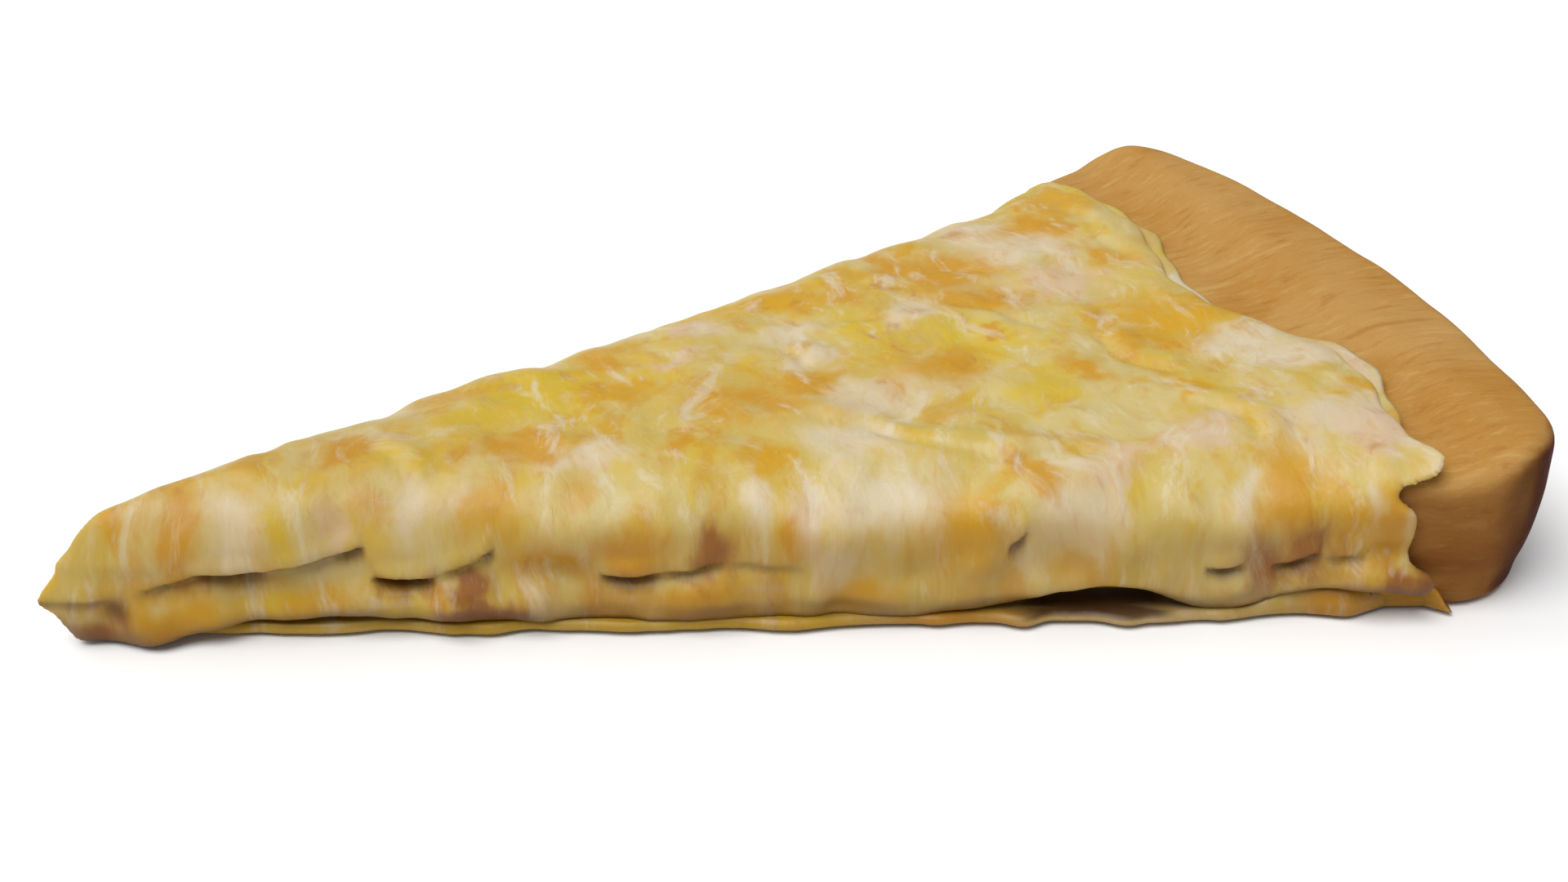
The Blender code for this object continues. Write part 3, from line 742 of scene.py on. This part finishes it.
# the far wall is not seen in front; its patches follow the same manner
FAR_PATCHES = [
    (12, 14, 2.2, 6, "W"), (18, 15, 1.8, 6, "O"), (25, 14, 2.4, 6, "Y"), (31, 6, 4, 2.5, "B"),
    (37, 15, 2.2, 6, "W"), (44, 12, 1.8, 5, "O"), (52, 5, 4, 2.6, "G"), (57, 15, 2.5, 5, "P"),
    (64, 10, 2.6, 4, "O"), (73, 16, 3.4, 5, "W"), (80, 8, 3, 4, "B"), (88, 15, 3.4, 5, "Y"),
    (97, 9, 3.8, 4, "W"), (106, 15, 3, 5, "O"), (115, 6, 4, 3, "G"), (124, 14, 5, 5, "W"),
    (134, 9, 2.8, 5, "O"), (143, 16, 4, 4, "Y"), (151, 8, 3, 5, "G"), (156, 14, 2, 5, "P"),
]
KINDS = "OGYWPB"


def patch_masks(pos, nrm):
    """Share of each kind of colour at each point."""
    x, y, z = pos.T
    wx = 3.0 * fbm(x, y, z * 0.4, 8, 4, 101, 0.6)
    wy = 3.0 * fbm(x, y, z * 0.4, 8, 4, 102, 0.6)
    u = np.hypot(x, y)
    on_top = smooth(15.0, 18.6, z) * smooth(0.15, 0.55, nrm[:, 2])
    on_wall = smooth(20.5, 16.5, z)
    out = {}
    for kind in KINDS:
        m = np.zeros(len(x))
        for cx, cy, rx, ry, k in TOP_PATCHES:
            if k == kind:
                q = ((x + wx - cx) / rx) ** 2 + ((y + wy - cy) / ry) ** 2
                m = np.maximum(m, on_top * np.exp(-0.62 * q))
        for side, patches in ((y < 0, WALL_PATCHES), (y >= 0, FAR_PATCHES)):
            for cu, cz, ru, rz, k in patches:
                if k == kind:
                    q = ((u + 0.7 * wx - cu) / ru) ** 2 + ((z + 0.5 * wy - cz) / rz) ** 2
                    m = np.maximum(m, side * on_wall * np.exp(-0.62 * q))
        out[kind] = m
    return out


class Nodes:
    """Short names for the shader nodes that the materials use."""

    def __init__(self, name):
        self.m = bpy.data.materials.new(name)
        self.m.use_nodes = True
        self.t = self.m.node_tree
        self.p = self.t.nodes["Principled BSDF"]

    def put(self, socket, value):
        if hasattr(value, "is_output"):
            self.t.links.new(value, socket)
        elif isinstance(value, tuple) and len(value) == 3 and socket.type == "RGBA":
            socket.default_value = (*value, 1.0)
        else:
            socket.default_value = value

    def attr(self, name, out="Color"):
        n = self.t.nodes.new("ShaderNodeAttribute")
        n.attribute_name = name
        return n.outputs[out]

    def split(self, colour):
        n = self.t.nodes.new("ShaderNodeSeparateColor")
        self.put(n.inputs[0], colour)
        return n.outputs[0], n.outputs[1], n.outputs[2]

    def math(self, op, a, b=0.0, c=0.0, clamp=False):
        n = self.t.nodes.new("ShaderNodeMath")
        n.operation = op
        n.use_clamp = clamp
        self.put(n.inputs[0], a)
        self.put(n.inputs[1], b)
        self.put(n.inputs[2], c)
        return n.outputs[0]

    def range(self, v, a, b, c=0.0, d=1.0, soft=True):
        n = self.t.nodes.new("ShaderNodeMapRange")
        n.interpolation_type = "SMOOTHSTEP" if soft else "LINEAR"
        for k, val in enumerate((v, a, b, c, d)):
            self.put(n.inputs[k], val)
        return n.outputs[0]

    def mix(self, fac, a, b, mode="MIX"):
        n = self.t.nodes.new("ShaderNodeMix")
        n.data_type = "RGBA"
        n.blend_type = mode
        n.clamp_factor = True
        self.put(n.inputs[0], fac)
        self.put(n.inputs[6], a)
        self.put(n.inputs[7], b)
        return n.outputs[2]

    def vec(self, v, scale):
        n = self.t.nodes.new("ShaderNodeVectorMath")
        n.operation = "MULTIPLY"
        self.put(n.inputs[0], v)
        n.inputs[1].default_value = scale
        return n.outputs[0]

    def noise(self, v, scale, detail=2.0, rough=0.5, distort=0.0):
        n = self.t.nodes.new("ShaderNodeTexNoise")
        self.put(n.inputs["Vector"], v)
        n.inputs["Scale"].default_value = scale
        n.inputs["Detail"].default_value = detail
        n.inputs["Roughness"].default_value = rough
        n.inputs["Distortion"].default_value = distort
        return n.outputs[0]

    def bump(self, height, strength, distance, normal=None):
        n = self.t.nodes.new("ShaderNodeBump")
        n.inputs["Strength"].default_value = strength
        n.inputs["Distance"].default_value = distance
        self.put(n.inputs["Height"], height)
        if normal is not None:
            self.put(n.inputs["Normal"], normal)
        return n.outputs[0]


def cheese_material(name, k=0.92):
    n = Nodes(name)
    flat = n.attr("flow", "Vector")          # millimetres, drawn out down the walls
    swirl = n.t.nodes.new("ShaderNodeTexNoise")
    n.put(swirl.inputs["Vector"], flat)
    swirl.inputs["Scale"].default_value = 0.11
    swirl.inputs["Detail"].default_value = 3.0
    push = n.t.nodes.new("ShaderNodeVectorMath")
    push.operation = "MULTIPLY_ADD"
    n.put(push.inputs[0], swirl.outputs[1])
    push.inputs[1].default_value = (7.0, 7.0, 3.0)
    n.put(push.inputs[2], flat)
    flow = push.outputs[0]
    mo, mg, my = n.split(n.attr("tone_a"))
    mw, mp, mb = n.split(n.attr("tone_b"))
    # painted shade read from the points: near-black in slits and hollows, darker feet, darker walls
    hollow_shade, foot, wall = n.split(n.attr("shade_paint"))
    big = n.noise(flow, 0.070, 2, 0.5, 0.2)
    mid = n.noise(flow, 0.17, 3, 0.55, 0.2)
    other = n.noise(flow, 0.12, 3, 0.55, 0.4)
    fine = n.noise(flow, 0.8, 3, 0.6, 0.2)
    streak = n.noise(n.vec(flow, (1.0, 0.45, 0.8)), 0.42, 3, 0.58, 0.6)
    curl = n.t.nodes.new("ShaderNodeTexNoise")
    n.put(curl.inputs["Vector"], flat)
    curl.inputs["Scale"].default_value = 0.045
    curl.inputs["Detail"].default_value = 2.0
    bend = n.t.nodes.new("ShaderNodeVectorMath")
    bend.operation = "MULTIPLY_ADD"
    n.put(bend.inputs[0], curl.outputs[1])
    bend.inputs[1].default_value = (22.0, 22.0, 4.0)
    n.put(bend.inputs[2], flat)
    strand = n.noise(n.vec(bend.outputs[0], (1.0, 0.40, 0.7)), 0.26, 5, 0.66, 0.2)
    soft = n.math("ADD", n.math("MULTIPLY", mid, 0.30),
                  n.math("ADD", n.math("MULTIPLY", streak, 0.30), n.math("MULTIPLY", strand, 0.40)))
    c = n.mix(n.range(big, 0.40, 0.60), tone(206, 176, 98, k), tone(210, 186, 126, k))
    c = n.mix(n.math("MULTIPLY", n.range(mid, 0.45, 0.66), 0.70), c, tone(212, 174, 62, k))
    c = n.mix(n.math("MULTIPLY", n.range(other, 0.51, 0.68), 0.60), c, tone(202, 148, 56, k))
    c = n.mix(n.math("MULTIPLY", n.range(streak, 0.52, 0.72), 0.45), c, tone(220, 202, 152, k))

    def part(mask, colour, low, high, amount, c):
        v = n.math("ADD", mask, n.math("MULTIPLY", n.math("SUBTRACT", soft, 0.5), 2.9))
        return n.mix(n.math("MULTIPLY", n.range(v, low, high), amount), c, colour)

    c = part(my, tone(213, 178, 44, k), 0.02, 0.95, 0.78, c)
    c = part(mw, tone(217, 196, 166, k), 0.05, 0.95, 0.85, c)
    c = part(mp, tone(216, 184, 154, k), 0.10, 1.00, 0.80, c)
    c = part(mg, tone(210, 158, 18, k), 0.02, 0.85, 0.92, c)
    c = part(mo, tone(205, 148, 20, k), 0.00, 0.95, 0.90, c)
    # brown patches: partly browned cheese, partly painted shade
    c = part(mb, tone(146, 84, 24, k), 0.05, 0.90, 0.85, c)
    c = n.mix(n.math("MULTIPLY", n.range(strand, 0.52, 0.68), 0.58), c, tone(222, 208, 180, k))
    c = n.mix(n.math("MULTIPLY", n.range(strand, 0.48, 0.30), 0.32), c, tone(200, 146, 34, k))
    c = n.mix(n.math("MULTIPLY", n.range(fine, 0.58, 0.76), 0.12), c, tone(228, 214, 184, k))
    c = n.mix(1.0, c, (0.90, 0.955, 1.0), "MULTIPLY")
    # painted shade: walls darker and browner where the light falls off
    c = n.mix(n.math("MULTIPLY", wall, 0.24), c, tone(160, 112, 38, k))
    c = n.mix(wall, c, (0.92, 0.87, 0.66), "MULTIPLY")
    # painted shade: darker towards the foot, and near-black in slits and hollows
    c = n.mix(foot, c, tone(122, 80, 18, k))
    c = n.mix(hollow_shade, c, rgb(50, 16, 3))
    n.put(n.p.inputs["Base Color"], c)
    n.put(n.p.inputs["Roughness"], n.range(mid, 0.3, 0.7, 0.36, 0.50, False))
    n.p.inputs["Subsurface Weight"].default_value = 0.20
    n.p.inputs["Subsurface Radius"].default_value = (1.0, 0.42, 0.14)
    n.p.inputs["Subsurface Scale"].default_value = 0.0022
    n.p.inputs["Specular IOR Level"].default_value = 0.30
    h = n.math("ADD", n.math("MULTIPLY", mid, 0.6),
               n.math("ADD", n.math("MULTIPLY", streak, 0.25), n.math("MULTIPLY", fine, 0.10)))
    n.put(n.p.inputs["Normal"], n.bump(h, 0.5, 0.0008))
    return n.m


def crust_material():
    n = Nodes("baked_crust")
    polar = n.attr("polar", "Vector")        # (distance from the tip, arc, height), mm
    # painted shade, the underside's colour, and dark red-brown of browning and painted shade, read from the points
    shade, under, dark_brown_and_shade = n.split(n.attr("crust_shade_and_browning"))
    streak = n.noise(n.vec(polar, (0.13, 1.0, 0.5)), 1.0, 4, 0.62, 0.5)
    hair = n.noise(n.vec(polar, (0.30, 1.0, 0.6)), 3.2, 3, 0.6, 0.3)
    big = n.noise(n.vec(polar, (0.6, 1.0, 1.0)), 0.07, 3, 0.55, 0.5)
    c = n.mix(n.range(big, 0.35, 0.68), rgb(196, 146, 82, 0.85), rgb(188, 132, 62, 0.85))
    c = n.mix(n.math("MULTIPLY", n.range(streak, 0.53, 0.72), 0.48), c, rgb(210, 168, 106, 0.85))
    c = n.mix(n.math("MULTIPLY", n.range(streak, 0.47, 0.30), 0.42), c, rgb(164, 104, 40, 0.85))
    c = n.mix(n.math("MULTIPLY", n.range(hair, 0.55, 0.75), 0.30), c, rgb(212, 174, 118, 0.85))
    c = n.mix(1.0, c, (0.87, 0.92, 0.90), "MULTIPLY")
    # painted shade on the sides
    c = n.mix(shade, c, (0.36, 0.15, 0.045), "MULTIPLY")
    # dark red-brown, partly real browning and partly painted shade
    c = n.mix(dark_brown_and_shade, c, rgb(62, 22, 6))
    c = n.mix(under, c, rgb(150, 96, 44))
    n.put(n.p.inputs["Base Color"], c)
    n.put(n.p.inputs["Roughness"], n.range(streak, 0.3, 0.7, 0.62, 0.78, False))
    n.p.inputs["Subsurface Weight"].default_value = 0.10
    n.p.inputs["Subsurface Radius"].default_value = (1.0, 0.35, 0.12)
    n.p.inputs["Subsurface Scale"].default_value = 0.0020
    n.p.inputs["Specular IOR Level"].default_value = 0.05
    h = n.math("ADD", n.math("MULTIPLY", streak, 0.7), n.math("MULTIPLY", hair, 0.3))
    n.put(n.p.inputs["Normal"], n.bump(h, 0.5, 0.0006))
    return n.m


# --------------------------------------------------------------- building

def flow_of(pos):
    return np.stack([pos[:, 0], pos[:, 1], pos[:, 2] * 0.32], 1)


def paint_blanket(obj, pos, quads):
    nrm = normals(pos, quads)
    x, y, z = pos.T
    u = np.hypot(x, y)
    m = patch_masks(pos, nrm)
    hollow_shade = np.zeros(len(x))
    # painted shade at each slit: near-black in the slit, a soft brown band of shade beside it
    for side, cuts in ((y < 0, NEAR_CUTS), (y >= 0, FAR_CUTS)):
        for c in cuts:
            d, fade = cut_fade(c, u, z)
            a = np.where(d > 0, np.exp(-(d / 0.35) ** 2), 0.9 * np.exp(-(d / 1.1) ** 2))
            hollow_shade = np.maximum(hollow_shade, side * a * fade * min(1.0, c[4] / 1.7))
            slit_shade_band = np.where(d > 0, 0.55 * np.exp(-(d / 1.0) ** 2), 0.75 * np.exp(-(d / 2.4) ** 2))
            m["B"] = np.maximum(m["B"], side * slit_shade_band * fade * min(1.0, c[4] / 1.5))
            m["W"] = np.maximum(m["W"], 0.7 * side * np.exp(-((d + 3.4) / 1.2) ** 2) * fade)
    # painted shade under the blanket's foot, near-black where it lifts off the lip
    for side, k in ((y < 0, 0), (y >= 0, 1)):
        h = hem(u, k)
        hollow_shade = np.maximum(hollow_shade, side * smooth(2.4, 3.4, h) * smooth(h + 0.7, h - 0.1, z)
                          * smooth(158, 154, u))
        hollow_shade = np.maximum(hollow_shade, side * 0.45 * smooth(h + 0.7, h, z) * smooth(10, 14, u))
    # painted shade in the dimple on the tip's wall, with a brown rim
    spot = hump(x, 6.0, 1.5) * hump(z, 5.4, 1.6) * (y < 0)
    hollow_shade = np.maximum(hollow_shade, 0.75 * spot)
    m["B"] = np.maximum(m["B"], 0.6 * (y < 0) * hump(x, 6.4, 2.4) * hump(z, 4.4, 2.6))
    # painted shade on faces turned down, towards the foot, and under the rolled flap and its end
    inner = smooth(0.0, -0.5, nrm[:, 2]) * smooth(6.0, 3.0, z)
    foot = smooth(5.0, 1.4, z) * 0.42 * smooth(-2, 8, u)
    foot = np.maximum(foot, 0.62 * smooth(5.5, 1.0, z) * smooth(24, 10, u))
    foot = np.maximum(foot, 0.75 * smooth(6.0, 4.2, z) * smooth(150, 156, u) * (y < 0))
    foot = np.maximum(foot, 0.7 * smooth(8.5, 7.0, z) * smooth(160.0, 162.0, u) * (y < 0))
    store(obj, "flow", flow_of(pos), "FLOAT_VECTOR")
    store(obj, "tone_a", np.stack([m["O"], m["G"], m["Y"]], 1), "FLOAT_COLOR")
    store(obj, "tone_b", np.stack([m["W"], m["P"], m["B"]], 1), "FLOAT_COLOR")
    # painted shade: the walls darker where they turn away from the light, and the tip's top toned down
    wall = smooth(0.92, 0.05, nrm[:, 2]) * smooth(20.5, 14, z + 3 * nrm[:, 2])
    wall = np.maximum(wall * (1 - 0.45 * smooth(64, 40, x)), 0.5 * smooth(64, 40, x))
    store(obj, "shade_paint", np.stack([np.maximum(hollow_shade, 0.5 * inner), foot, wall], 1), "FLOAT_COLOR")


def paint_lower(obj, pos):
    x, y, z = pos.T
    u = np.hypot(x, y)
    lipish = smooth(6, 4, z)
    zero = np.zeros(len(x))
    o = lipish * np.where(y < 0, np.maximum(hump(u, 104, 9), smooth(146, 151, u)),
                          np.maximum(hump(u, 60, 9), hump(u, 120, 9))) * 0.9
    w = lipish * np.where(y < 0, hump(u, 126, 13), hump(u, 90, 12)) * 0.8
    yl = lipish * np.where(y < 0, smooth(98, 90, u), hump(u, 30, 16)) * 0.8
    f = np.arctan2(y, x) / ALPHA
    top = 1 - lipish
    yl = np.maximum(yl, top * 0.6 * (hump(f, 0.62, 0.34) + hump(f, -0.9, 0.12)))
    w = np.maximum(w, top * (0.8 * hump(f, 0.0, 0.2) + 0.7 * hump(f, -0.55, 0.12)))
    p = top * 0.8 * hump(f, -0.42, 0.14)
    store(obj, "flow", flow_of(pos), "FLOAT_VECTOR")
    store(obj, "tone_a", np.stack([o, zero, yl], 1), "FLOAT_COLOR")
    store(obj, "tone_b", np.stack([w, p, zero], 1), "FLOAT_COLOR")
    # painted shade: near-black on the lower sheet behind the blanket's foot and under the lifted foot; the lip
    # darkened like the walls
    hollow_shade = 0.9 * smooth(0.40, 0.65, z - lip_tall(u, -1.0)) * smooth(14, 8, z) * smooth(156, 150, u)
    lifted = smooth(2.2, 3.6, hem(u, 0)) * (y < 0) * smooth(146, 138, u)
    hollow_shade = np.maximum(hollow_shade, 0.85 * lifted * smooth(0.72, 1.02, z / lip_tall(u, -1.0)) * smooth(14, 8, z))
    foot = lipish * 0.12
    store(obj, "shade_paint", np.stack([hollow_shade, foot, lipish], 1), "FLOAT_COLOR")


def paint_crust(obj, pos, quads):
    nrm = normals(pos, quads)
    x, y, z = pos.T
    r, th = np.hypot(x, y), np.arctan2(y, x)
    store(obj, "polar", np.stack([r, th * 150.0, z], 1), "FLOAT_VECTOR")
    outward = (nrm[:, 0] * x + nrm[:, 1] * y) / (r + 1e-9)
    side = smooth(0.75, 0.2, nrm[:, 2])
    back = side * smooth(0.20, 0.72, outward)
    # painted shade: a dark line along the rim's outer top edge
    edge = hump(r, 178.2, 1.3) * smooth(0.95, 0.6, nrm[:, 2]) * 0.5
    # painted shade on the sides, most on the outward wall
    shade = np.maximum(np.maximum(0.85 * back, edge), side * (0.58 + 0.20 * smooth(15, 3, z)))
    # the outer wall and near corner turned dark red-brown, partly the crust's real browning and partly painted
    # shade; painted shade also low on the near side
    corner = smooth(-0.17, -0.26, th)
    dark_brown_and_shade = back * mix(0.30 + 0.30 * smooth(17, 4, z), 0.88, corner)
    dark_brown_and_shade = np.maximum(dark_brown_and_shade, 0.25 * side * smooth(14, 1, z))
    # less painted shade low on the near side
    foot = (side - back) * smooth(7.0, 3.5, z)
    shade = shade * (1 - 0.32 * foot)
    dark_brown_and_shade = dark_brown_and_shade * (1 - 0.6 * foot)
    under = smooth(-0.3, -0.8, nrm[:, 2])
    store(obj, "crust_shade_and_browning", np.stack([shade, under, dark_brown_and_shade], 1), "FLOAT_COLOR")


def finish_piece(obj, node):
    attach(obj, "root")
    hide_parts(node)


def build():
    F, o = crust_field()
    pos, quads = surface(F, o, STEP)
    crust = new_mesh("crust_baked", pos, quads.tolist(), crust_material())
    paint_crust(crust, pos, quads)
    finish_piece(crust, "crust")
    print("crust quads", len(quads))

    F, o = blanket_field()
    pos, quads = surface(F, o, FINE)
    upper = new_mesh("cheese_blanket", pos, quads.tolist(), cheese_material("melted_cheese"))
    paint_blanket(upper, pos, quads)
    finish_piece(upper, "cheese_upper")
    print("blanket quads", len(quads))

    pos, faces = rows_to_mesh(*lower_rows())
    low = new_mesh("cheese_under", pos, faces, cheese_material("cheese_lip", 0.85))
    paint_lower(low, pos)
    finish_piece(low, "cheese_lower")
    print("lower faces", len(faces))


def studio():
    bpy.ops.mesh.primitive_plane_add(size=6.0, location=(0, 0, -0.0004))
    floor = bpy.context.object
    floor.name = "floor"
    n = Nodes("pale_floor")
    n.p.inputs["Base Color"].default_value = (0.86, 0.86, 0.86, 1)
    n.p.inputs["Roughness"].default_value = 0.9
    n.p.inputs["Specular IOR Level"].default_value = 0.1
    floor.data.materials.append(n.m)

    def lamp(kind, name, energy, where, aim=(0, 0, 0.01), **more):
        d = bpy.data.lights.new(name, kind)
        d.energy = energy
        for k, v in more.items():
            setattr(d, k, v)
        o = bpy.data.objects.new(name, d)
        o.location = where
        o.rotation_euler = (Vector(aim) - Vector(where)).to_track_quat("-Z", "Y").to_euler()
        bpy.context.scene.collection.objects.link(o)

    lamp("SUN", "key", 2.82, (-0.46, -0.27, 1.15), angle=radians(46))
    lamp("AREA", "sheen", 2.5, (-0.35, 0.45, 0.70), size=0.7)
    w = bpy.data.worlds.new("studio")
    w.use_nodes = True
    w.node_tree.nodes["Background"].inputs[0].default_value = (1, 1, 1, 1)
    w.node_tree.nodes["Background"].inputs[1].default_value = 0.30
    bpy.context.scene.world = w
    v = bpy.context.scene.view_settings
    v.view_transform = "Standard"
    v.look = "None"
    v.exposure = 0.0
    v.gamma = 1.0

    cam = bpy.data.cameras.new("camera")
    cam.lens = 50.0
    cam.sensor_width = 36.0
    cam.clip_start = 0.01
    cam.clip_end = 20.0
    o = bpy.data.objects.new("camera", cam)
    o.location = (-0.083487, -0.230551, 0.147724)
    o.rotation_euler = (radians(90 - 29.30), 0.0, radians(-20.35))
    bpy.context.scene.collection.objects.link(o)
    bpy.context.scene.camera = o


build()
studio()
